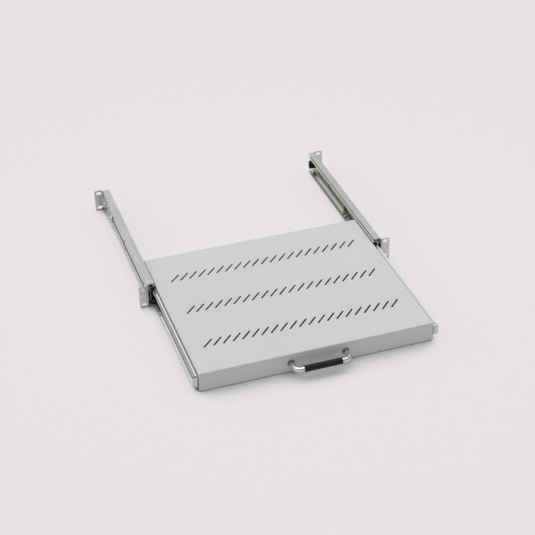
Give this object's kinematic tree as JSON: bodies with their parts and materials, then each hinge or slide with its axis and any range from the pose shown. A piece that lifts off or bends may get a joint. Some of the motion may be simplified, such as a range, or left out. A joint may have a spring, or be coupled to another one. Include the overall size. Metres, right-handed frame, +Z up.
{
  "type": "rack shelf",
  "caption": "Pull-out rack shelf: a vented grey tray with a bow handle on ball slides in U-channel brackets whose slotted ears bolt to the rack posts.",
  "frame": {"origin": "centre of the front rack hole pattern, on the plane where the front ears meet the rack", "axes": "+X to the right seen from the front, +Y into the rack, +Z up"},
  "size_m": [0.4826, 0.6602, 0.0436],
  "materials": {
    "tray_paint": "light grey powder coat",
    "zinc_sheet": "zinc-plated sheet, slightly olive",
    "slide_steel": "bright zinc-plated rolled steel",
    "fasteners": "zinc-plated steel",
    "ball_steel": "polished steel",
    "handle_chrome": "bright chrome plate",
    "collar_nickel": "dark nickel plate",
    "grip_black": "black moulded sleeve, satin",
    "black_plastic": "black moulded plastic"
  },
  "bodies": {
    "brackets": {"left_bracket": "zinc_sheet", "right_bracket": "zinc_sheet", "left_outer_slide": "slide_steel", "right_outer_slide": "slide_steel", "left_slide_rivets": "fasteners", "right_slide_rivets": "fasteners", "left_front_stop": "black_plastic", "right_front_stop": "black_plastic", "left_rear_bumper": "black_plastic", "right_rear_bumper": "black_plastic"},
    "tray": {"shelf_tray": "tray_paint", "handle_bow": "handle_chrome", "handle_grip": "grip_black", "handle_collars": "collar_nickel", "handle_washers": "fasteners", "handle_screws": "fasteners", "left_inner_slide": "slide_steel", "right_inner_slide": "slide_steel", "left_inner_screws": "fasteners", "right_inner_screws": "fasteners", "left_inner_nuts": "fasteners", "right_inner_nuts": "fasteners"},
    "left_cage": {"left_ball_cage": "slide_steel", "left_balls": "ball_steel"},
    "right_cage": {"right_ball_cage": "slide_steel", "right_balls": "ball_steel"},
    "left_rear": {"left_rear_bracket": "zinc_sheet", "left_rear_bolts": "fasteners", "left_nut_strip": "zinc_sheet"},
    "right_rear": {"right_rear_bracket": "zinc_sheet", "right_rear_bolts": "fasteners", "right_nut_strip": "zinc_sheet"}
  },
  "joints": [
    {"name": "tray_slide", "type": "slide", "parent": "brackets", "child": "tray", "axis": [0, 1, 0], "range_m": [0, 0.2685]},
    {"name": "left_cage_slide", "type": "slide", "parent": "brackets", "child": "left_cage", "axis": [0, 1, 0], "range_m": [0, 0.13425]},
    {"name": "right_cage_slide", "type": "slide", "parent": "brackets", "child": "right_cage", "axis": [0, 1, 0], "range_m": [0, 0.13425]},
    {"name": "left_rear_adjust", "type": "slide", "parent": "brackets", "child": "left_rear", "axis": [0, -1, 0], "range_m": [0, 0.262]},
    {"name": "right_rear_adjust", "type": "slide", "parent": "brackets", "child": "right_rear", "axis": [0, -1, 0], "range_m": [0, 0.262]}
  ],
  "couplings": [
    {"joint": "left_cage_slide", "follows": "tray_slide", "ratio": 0.5},
    {"joint": "right_cage_slide", "follows": "tray_slide", "ratio": 0.5}
  ]
}
